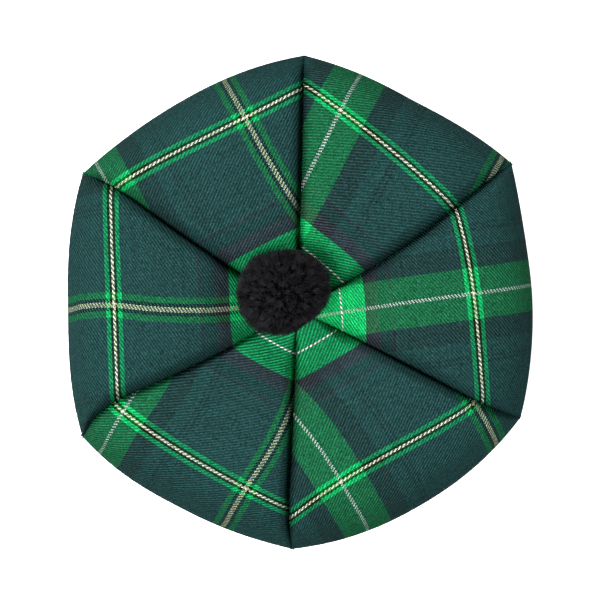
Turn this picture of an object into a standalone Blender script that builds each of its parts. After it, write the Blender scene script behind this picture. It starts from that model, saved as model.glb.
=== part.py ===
"""Tam o shanter: a six-gore bonnet of tartan wool with a headband and a woollen toorie.

The bonnet lies on its headband. Each gore is one cloth panel that starts at the middle of
the crown, climbs out of a dimple, crosses the shoulder, turns round the rim and runs back
underneath to the headband. The toorie is a wool ball that leans to the back left.

Sizes are in millimetres and become metres where a mesh is made. The origin is the middle
of the head opening, on the surface that the bonnet lies on. +Z is up, +Y is the back.
"""

import math
from collections import namedtuple

import bmesh
import bpy
import numpy as np
from mathutils import Matrix, Vector
from mathutils.bvhtree import BVHTree

MM = 0.001

# Driving sizes, in millimetres
HEAD_ROUND = 580.0  # head size that the band fits
BAND_WALL = 2.8  # band cloth folded double, with its seam allowances
BAND_TALL = 30.0
BAND_FOLD = 0.7  # how far the fold at the band's lower edge is rounded
CLOTH = 1.8  # gore cloth
GAP = 0.3  # between pieces that touch on the real bonnet
HUB_HOLE = 2.0  # radius left where the six gore tips are drawn together
HUB = (-1.8, -4.1)  # where the seams meet, off the middle of the outline
TOORIE_REACH = (26.8, 25.6, 23.5)  # half width, half depth, height above its middle
TOORIE_BASE = 19.5  # depth below its middle, pressed flat by the cloth
TOORIE_MIDDLE = (-9.3, 5.3)
LOCKS = 200  # trimmed locks of yarn over the toorie
LOCK_DEPTH = 1.5
LOCK_UNEVEN = 0.7  # how far one lock stands above or below the next
TIP_LENGTH = 0.999  # on a unit ball, a point longer than this is a lock's tip

# Fineness of the faceted solids
ROWS_BETWEEN = 2  # rings of faces from one section to the next
COLUMNS = 12  # columns of faces across a gore
BAND_SIDES = 64

BAND_INNER = HEAD_ROUND / (2.0 * math.pi)
BAND_OUTER = BAND_INNER + BAND_WALL
GORE_FOOT = BAND_INNER + 0.2  # radius of the gores' sewn lower edge

# The seams, counter-clockwise from above: their direction near the hub, at the knee
# where they turn over the shoulder, and at the corner of the rim, and the corner's radius.
Seam = namedtuple("Seam", "name hub_deg knee_deg corner_deg corner_reach")
SEAMS = [
    Seam("back_right", 27.5, 32.9, 33.3, 148.0),
    Seam("back", 89.0, 89.1, 89.0, 144.3),
    Seam("back_left", 150.6, 147.9, 149.4, 147.6),
    Seam("front_left", 211.3, 207.7, 211.7, 149.6),
    Seam("front", 267.1, 266.9, 268.2, 144.6),
    Seam("front_right", 330.7, 330.7, 332.4, 145.6),
]
HUB_SHARE, KNEE_SHARE = 0.30, 0.85  # where the seams take those directions
FIRST_SEAM_DEG = 30.0  # at the headband the seams are evenly spaced from here

# The gores, each from the seam of the same place in SEAMS to the next one: the rim's radius
# at their middle, by how much the rim bulges towards the next seam, and the power of the
# place across the gore with which it swells out to the corners.
Gore = namedtuple("Gore", "name middle_reach bulge swell_power")
GORES = [
    Gore("gore_back_right", 135.1, -1.0, 1.7),
    Gore("gore_back_left", 136.1, 0.0, 1.9),
    Gore("gore_left", 136.0, 0.0, 1.7),
    Gore("gore_front_left", 138.9, -3.2, 1.7),
    Gore("gore_front_right", 137.9, 0.8, 1.7),
    Gore("gore_right", 136.0, -1.4, 2.3),
]
GROOVE_POWER = 6.0  # how close to the seam the cloth dives into its groove
DOME_SHARE = 0.25  # part of the groove's depth that is a gentle dome instead

# Sections along a gore, hub first. On the top, share runs from the hub to the rim; on the
# underside it runs from the headband to the rim. Heights are of the cloth's outer face.
Section = namedtuple("Section", "name side share height seam_height")
SECTIONS = [
    Section("hub", "top", 0.00, 42.0, 41.2),
    Section("dimple_floor", "top", 0.12, 43.0, 41.8),
    Section("dimple_foot", "top", 0.23, 50.5, 47.0),
    Section("dimple_wall", "top", 0.34, 61.5, 55.5),
    Section("lip", "top", 0.44, 67.4, 61.0),
    Section("shoulder", "top", 0.62, 69.0, 62.0),
    Section("shoulder_edge", "top", 0.78, 66.5, 59.0),
    Section("brow", "top", 0.91, 58.0, 50.5),
    Section("upper_rim", "top", 0.98, 45.0, 39.5),
    Section("rim", "top", 1.00, 34.0, 30.5),
    Section("lower_rim", "under", 0.88, 23.0, 23.5),
    Section("underside", "under", 0.58, 19.0, 20.5),
    Section("tuck", "under", 0.24, 25.5, 26.5),
    Section("band_seat", "under", 0.10, BAND_TALL + GAP, BAND_TALL + GAP),
    Section("band_edge", "under", 0.00, BAND_TALL + GAP, BAND_TALL + GAP),
]


# Where the toorie was trimmed unevenly: the side's direction, how much longer its wool is,
# as a share of the ball's, and the power of the cosine with which that fades round about.
Trimmed = namedtuple("Trimmed", "side_deg longer power")
TRIMMED = [
    Trimmed(33.0, 0.12, 6.0),
    Trimmed(168.0, 0.07, 3.0),
    Trimmed(225.0, 0.05, 8.0),
    Trimmed(310.0, -0.12, 4.0),
]


def clear_scene():
    for obj in list(bpy.data.objects):
        bpy.data.objects.remove(obj, do_unlink=True)


def material(name, color, roughness):
    made = bpy.data.materials.new(name)
    made.use_nodes = True
    shader = made.node_tree.nodes["Principled BSDF"]
    shader.inputs["Base Color"].default_value = (*color, 1.0)
    shader.inputs["Roughness"].default_value = roughness
    shader.inputs["Metallic"].default_value = 0.0
    return made


def add_object(name, mesh, finish):
    mesh.materials.append(finish)
    mesh.shade_smooth()
    mesh.set_sharp_from_angle(angle=math.radians(50.0))
    obj = bpy.data.objects.new(name, mesh)
    bpy.context.collection.objects.link(obj)
    return obj


def smooth_rows(rows, steps):
    """Catmull-Rom curve through the rows of a table, with steps intervals between rows."""
    first, last = 2 * rows[0] - rows[1], 2 * rows[-1] - rows[-2]
    held = np.concatenate([[first], rows, [last]])
    place = np.arange((len(rows) - 1) * steps + 1) / steps
    start = np.minimum(place.astype(int), len(rows) - 2)
    t = (place - start).reshape((-1,) + (1,) * (rows.ndim - 1))
    a, b, c, d = (held[start + k] for k in range(4))
    bend = (2 * a - 5 * b + 4 * c - d) * t**2 + (3 * b - a - 3 * c + d) * t**3
    return b + 0.5 * ((c - a) * t + bend)


def seam_degrees(index):
    """Direction of a seam at each section; past the last seam it counts on from 360."""
    seam = SEAMS[index % len(SEAMS)]
    turns = 360.0 * (index // len(SEAMS))
    even = FIRST_SEAM_DEG + 360.0 * index / len(SEAMS)
    shares = (HUB_SHARE, KNEE_SHARE, 1.0)
    course = (seam.hub_deg, seam.knee_deg, seam.corner_deg)
    corner = seam.corner_deg + turns
    return np.array([
        np.interp(s.share, shares, course) + turns if s.side == "top"
        else even + (corner - even) * s.share
        for s in SECTIONS
    ])


def gore_grids(index):
    """Outer and inner face of a gore as grids of points, section rows by columns across.

    Across a gore, v runs from -1 on one seam to 1 on the next. The rim's radius grows with
    |v| to its own power and gains the bulge times v (1 - v^2), and the height falls from
    the middle's to the seam's with |v| to the GROOVE_POWER. The inner face is the outer one
    moved by the cloth's thickness across its section, so that both end on the seam's plane.
    """
    v = np.sin(np.linspace(-0.5, 0.5, COLUMNS + 1) * math.pi)
    left, right = SEAMS[(index + 1) % len(SEAMS)], SEAMS[index]
    corner = np.where(v < 0, right.corner_reach, left.corner_reach)
    gore = GORES[index]
    rim = gore.middle_reach + (corner - gore.middle_reach) * np.abs(v) ** gore.swell_power
    rim = rim + gore.bulge * v * (1 - v**2)
    groove = DOME_SHARE * v**2 + (1.0 - DOME_SHARE) * np.abs(v) ** GROOVE_POWER

    share = np.array([[s.share] for s in SECTIONS])
    foot = np.array([[HUB_HOLE if s.side == "top" else GORE_FOOT] for s in SECTIONS])
    off_centre = np.array([[(1 - s.share) ** 2 * (s.side == "top")] for s in SECTIONS])
    height = np.array([[s.height] for s in SECTIONS])
    seam_height = np.array([[s.seam_height] for s in SECTIONS])
    start, end = seam_degrees(index)[:, None], seam_degrees(index + 1)[:, None]

    reach = smooth_rows(foot + share * (rim - foot), ROWS_BETWEEN)
    rise = smooth_rows(height + (seam_height - height) * groove, ROWS_BETWEEN)
    turn = smooth_rows(np.radians(start + (end - start) * (v + 1) / 2), ROWS_BETWEEN)
    pull = smooth_rows(off_centre, ROWS_BETWEEN)

    along_r, along_z = np.gradient(reach, axis=0), np.gradient(rise, axis=0)
    length = np.hypot(along_r, along_z)
    inner_reach = reach + CLOTH * along_z / length
    inner_rise = rise - CLOTH * along_r / length

    def grid(r, z):
        angle = turn.copy()
        angle[:, 0] += GAP / 2 / np.maximum(r[:, 0], HUB_HOLE)
        angle[:, -1] -= GAP / 2 / np.maximum(r[:, -1], HUB_HOLE)
        x = HUB[0] * pull + r * np.cos(angle)
        y = HUB[1] * pull + r * np.sin(angle)
        return np.stack([x, y, z], axis=2)

    return grid(reach, rise), grid(inner_reach, inner_rise)


def closed_shell(outer, inner):
    """Vertices and faces of a wall between two grids of the same size, closed at its rim."""
    rows, columns = outer.shape[:2]
    index = np.arange(rows * columns).reshape(rows, columns)
    under = index + rows * columns

    def sheet(a):
        return np.stack([a[:-1, :-1], a[1:, :-1], a[1:, 1:], a[:-1, 1:]], 2).reshape(-1, 4)

    loop = np.concatenate([index[0, :-1], index[:-1, -1], index[-1, :0:-1], index[:0:-1, 0]])
    following = np.roll(loop, -1)
    edge = np.stack([loop, following, following + under[0, 0], loop + under[0, 0]], 1)
    faces = np.concatenate([sheet(index), sheet(under)[:, ::-1], edge])
    return np.concatenate([outer.reshape(-1, 3), inner.reshape(-1, 3)]), faces


def make_gore(index, finish):
    points, faces = closed_shell(*gore_grids(index))
    mesh = bpy.data.meshes.new(GORES[index].name)
    mesh.from_pydata((points * MM).tolist(), [], faces.tolist())
    return add_object(GORES[index].name, mesh, finish)


def make_headband(finish):
    """The band's section, spun round the head opening; its lower edge is a soft fold."""
    section = [
        (BAND_INNER + BAND_FOLD, 0.0),
        (BAND_OUTER - BAND_FOLD, 0.0),
        (BAND_OUTER, BAND_FOLD),
        (BAND_OUTER, BAND_TALL),
        (BAND_INNER, BAND_TALL),
        (BAND_INNER, BAND_FOLD),
    ]
    bm = bmesh.new()
    corners = [bm.verts.new(Vector((r, 0.0, z)) * MM) for r, z in section]
    edges = [bm.edges.new((a, b)) for a, b in zip(corners, corners[1:] + corners[:1])]
    bmesh.ops.spin(bm, geom=corners + edges, cent=(0, 0, 0), axis=(0, 0, 1),
                   angle=2 * math.pi, steps=BAND_SIDES, use_merge=True)
    bmesh.ops.recalc_face_normals(bm, faces=bm.faces)
    mesh = bpy.data.meshes.new("headband")
    bm.to_mesh(mesh)
    bm.free()
    return add_object("headband", mesh, finish)


def lock_directions():
    """Evenly scattered directions: equal steps in height, each turned by the golden angle."""
    k = np.arange(LOCKS)
    z = 1.0 - (2.0 * k + 1.0) / LOCKS
    turn = k * math.pi * (3.0 - math.sqrt(5.0))
    flat = np.sqrt(1.0 - z**2)
    return np.stack([flat * np.cos(turn), flat * np.sin(turn), z], 1)


def trimmed_length(way):
    """Length of the wool in a direction, where the even ball's is 1."""
    length = 1.0
    for side in TRIMMED:
        turn = math.radians(side.side_deg)
        towards = max(way.x * math.cos(turn) + way.y * math.sin(turn), 0.0)
        length += side.longer * towards**side.power
    return length


def make_toorie(finish):
    """A ball whose every hull vertex is the tip of a lock, with a valley round each tip.

    The hull of the scattered directions is cut once, and the new points between the tips
    are drawn inwards, which leaves each tip as a blunt lock on one closed ball.
    """
    bm = bmesh.new()
    tips = [bm.verts.new(d) for d in lock_directions()]
    bmesh.ops.convex_hull(bm, input=tips)
    bmesh.ops.subdivide_edges(bm, edges=bm.edges, cuts=1, use_grid_fill=True)
    wide, deep, high = TOORIE_REACH
    for count, vert in enumerate(bm.verts):
        on_ball = vert.co.length > TIP_LENGTH
        way = vert.co.normalized()
        low = high if way.z > 0 else TOORIE_BASE
        inwards = -LOCK_UNEVEN * math.sin(count) if on_ball else LOCK_DEPTH
        ball = Vector((way.x * (wide - inwards), way.y * (deep - inwards),
                       way.z * (low - inwards)))
        vert.co = ball * trimmed_length(way) * MM
    bmesh.ops.triangulate(bm, faces=bm.faces)
    bmesh.ops.recalc_face_normals(bm, faces=bm.faces)
    mesh = bpy.data.meshes.new("toorie")
    bm.to_mesh(mesh)
    bm.free()
    return add_object("toorie", mesh, finish)


def fall(upper, lower):
    """How far the mesh above can drop before it meets one of the meshes below, in metres."""
    top = BVHTree.FromPolygons([v.co for v in upper.vertices],
                               [p.vertices for p in upper.polygons])
    drops = []
    for mesh in lower:
        floor = BVHTree.FromPolygons([v.co for v in mesh.vertices],
                                     [p.vertices for p in mesh.polygons])
        down = [floor.ray_cast(v.co, (0, 0, -1))[3] for v in upper.vertices]
        up = [top.ray_cast(v.co, (0, 0, 1))[3] for v in mesh.vertices]
        drops += [d for d in down + up if d is not None]
    return min(drops)


def seat_toorie(toorie, gores):
    """Lowers the toorie from well above the crown until it rests on the dimple."""
    x, y = TOORIE_MIDDLE
    clear = max(s.height for s in SECTIONS) + TOORIE_BASE + LOCK_DEPTH
    toorie.data.transform(Matrix.Translation(Vector((x, y, clear)) * MM))
    drop = fall(toorie.data, [gore.data for gore in gores]) - GAP * MM
    toorie.data.transform(Matrix.Translation((0, 0, -drop)))


def build():
    clear_scene()
    tartan = material("green tartan wool", (0.020, 0.098, 0.066), 0.85)
    band_cloth = material("green tartan wool, folded", (0.016, 0.078, 0.055), 0.88)
    yarn = material("black wool yarn", (0.010, 0.010, 0.012), 0.95)
    gores = [make_gore(index, tartan) for index in range(len(GORES))]
    make_headband(band_cloth)
    toorie = make_toorie(yarn)
    seat_toorie(toorie, gores)


build()
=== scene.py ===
# %% [markdown]
# # A tartan tam o shanter
#
# The bonnet is six gores of twill-woven wool tartan, a folded headband and a black wool
# pompom, the toorie. It lies on its headband and is seen straight from above.
#
# The solids of the frame already have every size. This lesson dresses them: it replaces
# each plain solid with the same form in fine cloth or yarn, and gives it a woven finish.
# The bonnet's sizes are in millimetres and become metres where a mesh is made. Those of the
# table, the lamps and the camera are in metres from the start.

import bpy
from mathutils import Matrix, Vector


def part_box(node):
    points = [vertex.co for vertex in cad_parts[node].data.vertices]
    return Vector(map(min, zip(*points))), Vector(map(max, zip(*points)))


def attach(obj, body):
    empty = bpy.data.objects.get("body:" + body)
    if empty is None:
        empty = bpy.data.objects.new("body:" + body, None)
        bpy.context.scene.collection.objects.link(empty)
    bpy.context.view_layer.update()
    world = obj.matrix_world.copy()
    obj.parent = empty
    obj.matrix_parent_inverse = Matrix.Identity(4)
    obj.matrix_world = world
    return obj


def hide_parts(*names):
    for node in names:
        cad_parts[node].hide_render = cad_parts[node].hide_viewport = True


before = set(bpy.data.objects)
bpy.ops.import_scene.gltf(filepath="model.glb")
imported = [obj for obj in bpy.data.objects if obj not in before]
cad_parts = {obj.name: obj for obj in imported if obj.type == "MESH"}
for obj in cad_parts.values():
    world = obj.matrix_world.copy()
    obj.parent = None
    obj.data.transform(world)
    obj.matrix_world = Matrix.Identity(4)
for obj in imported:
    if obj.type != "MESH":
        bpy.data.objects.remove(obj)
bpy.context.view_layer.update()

import math
from collections import namedtuple

import bpy
import numpy as np
from mathutils import Vector

MM = 0.001
print("solids:", ", ".join(sorted(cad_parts)))

# %% [markdown]
# ## The pattern of the crown
#
# A bonnet maker draws one gore on paper: a long leaf shape that is sewn to its neighbours
# from the hub, over the rim and back underneath to the headband. A modeller could sculpt
# the six leaves, or sew flat ones together with a cloth simulation. Here each gore is one
# smooth function of two parameters instead, because the photograph shows taut cloth whose
# only deep folds are its seams, and a formula puts those seams exactly where they lie.
#
# The three tables are the frame's own. A seam has a direction at the hub, at the knee where
# it turns over the shoulder, and at the corner of the rim. A gore has the rim's radius at its
# middle, a bulge to one side, and the power by which the rim swells to the corners. A section
# crosses every gore at one share of the way from the hub to the rim, or from the band to the
# rim underneath. roll says how much of the seam's own roll it gets, and ease how much of the
# gathering.

# %% Tables of the seams, gores and sections
Seam = namedtuple("Seam", "name hub_deg knee_deg corner_deg corner_reach")
SEAMS = [
    Seam("back_right", 27.5, 32.9, 33.3, 148.0),
    Seam("back", 89.0, 89.1, 89.0, 144.3),
    Seam("back_left", 150.6, 147.9, 149.4, 147.6),
    Seam("front_left", 211.3, 207.7, 211.7, 149.6),
    Seam("front", 267.1, 266.9, 268.2, 144.6),
    Seam("front_right", 330.7, 330.7, 332.4, 145.6),
]
Gore = namedtuple("Gore", "name middle_reach bulge swell_power")
GORES = [
    Gore("gore_back_right", 135.1, -1.0, 1.7),
    Gore("gore_back_left", 136.1, 0.0, 1.9),
    Gore("gore_left", 136.0, 0.0, 1.7),
    Gore("gore_front_left", 138.9, -3.2, 1.7),
    Gore("gore_front_right", 137.9, 0.8, 1.7),
    Gore("gore_right", 136.0, -1.4, 2.3),
]
BAND_HIGH = np.array(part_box("headband")[1]) / MM
BAND_OUTER, BAND_TALL = BAND_HIGH[0], BAND_HIGH[2]
HEAD_ROUND = 580.0  # the head that the bonnet fits
BAND_INNER = HEAD_ROUND / (2.0 * math.pi)
GAP = 0.3  # from piece to piece
SEAT = BAND_TALL + GAP
Section = namedtuple("Section", "name side share height seam_height roll ease")
SECTIONS = [
    Section("hub", "top", 0.00, 42.0, 41.2, 0.0, 0.0),
    Section("dimple_floor", "top", 0.12, 43.0, 41.8, 0.7, 0.0),
    Section("dimple_foot", "top", 0.23, 50.5, 47.0, 1.0, 0.0),
    Section("dimple_wall", "top", 0.34, 61.5, 55.5, 1.0, 0.0),
    Section("lip", "top", 0.44, 67.4, 61.0, 1.0, 0.0),
    Section("shoulder", "top", 0.62, 69.0, 62.0, 1.0, 0.0),
    Section("shoulder_edge", "top", 0.78, 66.5, 59.0, 1.0, 0.0),
    Section("brow", "top", 0.91, 58.0, 50.5, 1.0, 0.0),
    Section("upper_rim", "top", 0.98, 45.0, 39.5, 0.5, 0.0),
    Section("rim", "top", 1.00, 34.0, 30.5, 0.0, 0.0),
    Section("lower_rim", "under", 0.88, 23.0, 23.5, 0.1, 0.0),
    Section("underside", "under", 0.58, 19.0, 20.5, 0.5, 0.4),
    Section("tuck", "under", 0.24, 25.5, 26.5, 0.3, 1.0),
    Section("band_seat", "under", 0.10, SEAT, SEAT, 0.0, 0.2),
    Section("band_edge", "under", 0.00, SEAT, SEAT, 0.0, 0.0),
]
HUB = (-1.8, -4.1)  # where the seams meet, off the middle of the band
HUB_HOLE = 2.0  # radius that the gores leave open for the tie of the toorie
GORE_FOOT = BAND_INNER + 0.2  # radius where the gores end underneath
HUB_SHARE, KNEE_SHARE = 0.30, 0.85  # up to here a seam has its hub's direction; here its knee's
FIRST_SEAM_DEG = 30.0  # of six even seams, which is what they are at the band
GROOVE_POWER = 6.0  # the higher, the steeper a gore falls just beside its seam
DOME_SHARE = 0.25  # the gentle part of the fall from a gore's middle to its seam
print(len(GORES), "gores,", len(SECTIONS), "sections; head opening", round(2 * BAND_INNER), "mm")

# %% [markdown]
# ## From tables to curves
#
# A pattern maker marks a few points and bends a thin strip of wood through them. A modeller
# would lay a spline. The tables are read the same way: a curve runs smoothly through the
# values of each column, so the cloth has no corner where two sections meet.

# %% Read a table as a smooth curve
ROWS_BETWEEN = 9


def smooth_rows(rows):
    """Catmull-Rom curve through the rows of a table, ROWS_BETWEEN steps from row to row.

    Between rows b and c, with neighbours a and d, the point at t is b + ((c - a) t +
    (2a - 5b + 4c - d) t^2 + (3b - a - 3c + d) t^3) / 2.
    """
    first, last = 2 * rows[0] - rows[1], 2 * rows[-1] - rows[-2]
    held = np.concatenate([[first], rows, [last]])
    place = np.arange((len(rows) - 1) * ROWS_BETWEEN + 1) / ROWS_BETWEEN
    start = np.minimum(place.astype(int), len(rows) - 2)
    t = (place - start).reshape((-1,) + (1,) * (rows.ndim - 1))
    a, b, c, d = (held[start + k] for k in range(4))
    bend = (2 * a - 5 * b + 4 * c - d) * t**2 + (3 * b - a - 3 * c + d) * t**3
    return b + 0.5 * ((c - a) * t + bend)


def seam_degrees(index):
    """Direction of a seam at each section; past the last seam it counts on from 360."""
    seam = SEAMS[index % len(SEAMS)]
    turns = 360.0 * (index // len(SEAMS))
    even = FIRST_SEAM_DEG + 360.0 * index / len(SEAMS)
    shares = (HUB_SHARE, KNEE_SHARE, 1.0)
    course = (seam.hub_deg, seam.knee_deg, seam.corner_deg)
    corner = seam.corner_deg + turns
    return np.array([
        np.interp(s.share, shares, course) + turns if s.side == "top"
        else even + (corner - even) * s.share
        for s in SECTIONS
    ])


def column_of(field):
    """One column of the sections' table, carried smoothly from the hub to the band."""
    return smooth_rows(np.array([[getattr(s, field)] for s in SECTIONS]))


print("rows along a gore:", len(column_of("height")))

# %% [markdown]
# ## The cloth of one gore
#
# On the real bonnet two gores are laid face to face, stitched, and opened out. The cloth
# rolls over at the seam and its last few millimetres stand inside as a seam allowance, so
# the seam is a dark valley between two soft rolls. The groove could be painted on or left
# to bump, but then it vanishes in a side view. It is modelled: the face dives in the last
# millimetres before the seam, then three columns run straight on.
#
# Columns bunch up towards the seams as the sine of even steps does, which gives the tight
# roll its points. Three low waves keep the panels from looking machined: long swells over
# the panel, short puckers beside the stitching, and soft gathers where the gore, wider
# than the head, is eased on to the band.

# %% The smooth gore between its seams
COLUMNS = 88


def smooth_gore(index, v, rolled):
    """Radius, height, direction, pull to the hub and half width of a gore, for each v.

    With v from -1 on one seam to 1 on the next, the rim's radius is the middle's plus the
    corner's excess times |v| to its power, and the bulge times v (1 - v^2). The height
    falls from the middle's to the seam's by a gentle v^2 and a steep |v| to GROOVE_POWER.
    Without rolled, the steep part is left out.
    """
    left, right = SEAMS[(index + 1) % len(SEAMS)], SEAMS[index]
    corner = np.where(v < 0, right.corner_reach, left.corner_reach)
    gore = GORES[index]
    rim = gore.middle_reach + (corner - gore.middle_reach) * np.abs(v) ** gore.swell_power
    rim = rim + gore.bulge * v * (1 - v**2)
    groove = DOME_SHARE * v**2 + (1.0 - DOME_SHARE) * np.abs(v) ** GROOVE_POWER * rolled

    share = np.array([[s.share] for s in SECTIONS])
    foot = np.array([[HUB_HOLE if s.side == "top" else GORE_FOOT] for s in SECTIONS])
    off_centre = np.array([[(1 - s.share) ** 2 * (s.side == "top")] for s in SECTIONS])
    height = np.array([[s.height] for s in SECTIONS])
    seam_height = np.array([[s.seam_height] for s in SECTIONS])
    start, end = seam_degrees(index)[:, None], seam_degrees(index + 1)[:, None]

    reach = smooth_rows(foot + share * (rim - foot))
    rise = smooth_rows(height + (seam_height - height) * groove)
    turn = smooth_rows(np.radians(start + (end - start) * (v + 1) / 2))
    half = reach * smooth_rows(np.radians(end - start) / 2)
    return reach, rise, turn, smooth_rows(off_centre), half


print("widest gore, mm:", round(2 * max(
    smooth_gore(k, np.zeros(1), True)[4].max() for k in range(len(GORES)))))

# %% The roll beside the seams, and the waves
ROLL_WIDE, ROLL_DEEP, ROLL_POWER = 7.0, 12.0, 2.2
ROLL_FROM = 12.0  # half width of gore below which roll and allowance shrink
LEAST_ROLL, LEAST_WIDE = 0.03, 0.01  # the share of roll that is left everywhere, and no zero width
WAVES_APART = 17.0  # how far each gore's waves run ahead of the last one's
SWELL, SWELL_LONG = 0.35, 52.0
SWELL_LEAN = 2.1  # how many radians a swell runs ahead at one seam
SWELL_FROM = 30.0  # half width of gore below which the swells shrink
PUCKER, PUCKER_LONG, PUCKER_REACH = 0.16, 8.5, 5.0
PUCKER_STRAY, STRAY_LONG = 2.0, 21.0  # how unevenly the puckers follow each other
PUCKER_STEP = 1.3  # how far they are out of step on the two sides of a gore
EASE, GATHERS = 0.9, 7  # height of the gathers, and how many cross a gore
GATHERS_STEP = 0.13  # their shift from gore to gore, with a gore's half width as 1


def seam_roll(v, half, rolled):
    """Share of the full roll, distance from the seam, and how far the roll sinks the face.

    It sinks by ROLL_DEEP times x^ROLL_POWER, where x grows from 0 to 1 over the last
    ROLL_WIDE before the seam.
    """
    roll_share = np.minimum(half / ROLL_FROM, 1.0) * column_of("roll")
    roll_share = np.maximum(roll_share, LEAST_ROLL)
    to_seam = (1 - np.abs(v)) * half
    x = np.clip(1 - to_seam / np.maximum(ROLL_WIDE * roll_share, LEAST_WIDE), 0, 1)
    return roll_share, to_seam, ROLL_DEEP * roll_share * x**ROLL_POWER * rolled


def low_waves(index, v, length, half, to_seam, roll_share):
    """How far the cloth stands off the smooth gore.

    A swell is a sine along the gore, and fades to the seams by 1 - v^4. A pucker is a short
    sine that fades by e^-(distance / PUCKER_REACH) away from the seam. A gather is a cosine
    across the gore.
    """
    run = np.cumsum(length, axis=0) + WAVES_APART * index
    swell = SWELL * np.sin(run / SWELL_LONG * 2 * math.pi + SWELL_LEAN * v) * (1 - v**4)
    swell *= np.minimum(1.0, half / SWELL_FROM)
    stray = np.sin(run / STRAY_LONG) * PUCKER_STRAY
    beat = np.sin(run / PUCKER_LONG * 2 * math.pi + stray + PUCKER_STEP * np.sign(v))
    pucker = PUCKER * beat * np.exp(-to_seam / PUCKER_REACH) * roll_share
    folds = np.cos(GATHERS * math.pi * (v + GATHERS_STEP * index)) * (1 - v**8)
    return swell + pucker + EASE * column_of("ease") * folds


print("waves, mm: swell", SWELL, "pucker", PUCKER, "gather", EASE)

# %% The outer face of a gore
ALLOWANCE_COLUMNS = 3
ALLOWANCE = 3.0

Cloth = namedtuple("Cloth", "points slope_r slope_z")


def gore_face(index, rolled=True):
    """Outer face of a gore with its allowances, rows from hub to band, columns across.

    The waves move the smooth gore along its normal. Of the roll's step only the upright
    part is taken, because the gores pull the stitching outwards.
    """
    v = np.sin(np.linspace(-0.5, 0.5, COLUMNS + 1) * math.pi)
    reach, rise, turn, pull, half = smooth_gore(index, v, rolled)
    slope_r, slope_z = np.gradient(reach, axis=0), np.gradient(rise, axis=0)
    length = np.hypot(slope_r, slope_z)
    slope_r, slope_z = slope_r / length, slope_z / length
    roll_share, to_seam, sink = seam_roll(v, half, rolled)
    lift = low_waves(index, v, length, half, to_seam, roll_share)

    across = np.arange(-ALLOWANCE_COLUMNS, COLUMNS + 1 + ALLOWANCE_COLUMNS)
    place = np.clip(across, 0, COLUMNS)
    beyond = np.abs(across - place) / ALLOWANCE_COLUMNS
    reach, rise, turn, lift = (grid[:, place] for grid in (reach, rise, turn, lift))
    slope_r, slope_z = slope_r[:, place], slope_z[:, place]
    sink = sink[:, place] + ALLOWANCE * roll_share[:, place] * beyond
    r, z = reach - slope_z * lift, rise + slope_r * (lift - sink)
    x, y = HUB[0] * pull + r * np.cos(turn), HUB[1] * pull + r * np.sin(turn)
    return Cloth(np.stack([x, y, z], axis=2), slope_r, slope_z)


trial = gore_face(0)
print("one gore:", trial.points.shape[:2], "points")

# %% [markdown]
# ## Laying the gore flat
#
# Tartan is woven flat and then cut, so its lines are straight on the cloth and bend only
# with it. A picture projected from above would stretch on the rim. The pattern needs the
# cloth's own measure: how far a thread lies across the gore and how far along it.
#
# A general unfolding needs a solver. A gore is simpler: it bends along its length and
# hardly across. So a step across the gore counts all of its length but the part that runs
# along the slope, and a step along a column counts what its sideways part leaves over,
# which is Pythagoras twice. Both are sums over whole arrays.
#
# They are used twice. The stripes take them from the smooth gore, because it is pressed and
# its stripes run straight into the seams. The size of the cut gore counts the roll as well.

# %% Flat coordinates of a gore's cloth
def axis_of(index):
    """Direction of a gore's middle line from above, halfway between its two seams."""
    return math.radians((seam_degrees(index).mean() + seam_degrees(index + 1).mean()) / 2)


def lay_flat(cloth, angle):
    """Cloth measures, in mm: across (clockwise is positive) and along (outwards).

    across sums sqrt(step^2 - (step . slope)^2) along a row from the middle column. along
    sums sqrt(step^2 - (change of across)^2) down a column from the hub.
    """
    step = np.diff(cloth.points, axis=1)
    flat = np.array([math.cos(angle), math.sin(angle)])
    slope_r = (cloth.slope_r[:, 1:] + cloth.slope_r[:, :-1]) / 2
    slope_z = (cloth.slope_z[:, 1:] + cloth.slope_z[:, :-1]) / 2
    on_slope = (step[..., :2] @ flat) * slope_r + step[..., 2] * slope_z
    width = np.sqrt(np.maximum((step**2).sum(2) - on_slope**2, 0.0))
    across = -np.concatenate([np.zeros((len(width), 1)), np.cumsum(width, axis=1)], axis=1)
    across -= across[:, [across.shape[1] // 2]]
    step = np.diff(cloth.points, axis=0)
    length = np.sqrt(np.maximum((step**2).sum(2) - np.diff(across, axis=0) ** 2, 0.0))
    along = np.concatenate([np.zeros((1, length.shape[1])), np.cumsum(length, axis=0)])
    return across, along


def cut_area(across, along):
    """Area of the flat gore: half the cross product of every cell's two diagonals, summed."""
    one = across[1:, 1:] - across[:-1, :-1], along[1:, 1:] - along[:-1, :-1]
    two = across[1:, :-1] - across[:-1, 1:], along[1:, :-1] - along[:-1, 1:]
    return abs((one[0] * two[1] - one[1] * two[0]).sum()) / 2


trial_across, trial_along = lay_flat(trial, axis_of(0))
print("flat gore, cm2:", round(cut_area(trial_across, trial_along) / 100))

# %% [markdown]
# ## Where the stripes fall
#
# A cutter lays the paper pattern anywhere on the tartan, and never quite square, so each
# gore shows another part of the sett, slightly turned and skewed. Cloth skews easily: its
# threads pivot where they cross. The pattern could be dragged into place by hand in the UV
# editor, but a row of a table can be measured and mended.
#
# The table says which place of the sett, counted from a white line, lies LAID_AT out from
# the hub on the gore's middle line. It also says how much wider and longer the cloth is than
# this smooth face, because it is steamed to shape, and by how many millimetres the threads
# lean and bow at LAID_FAR from there.

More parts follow.
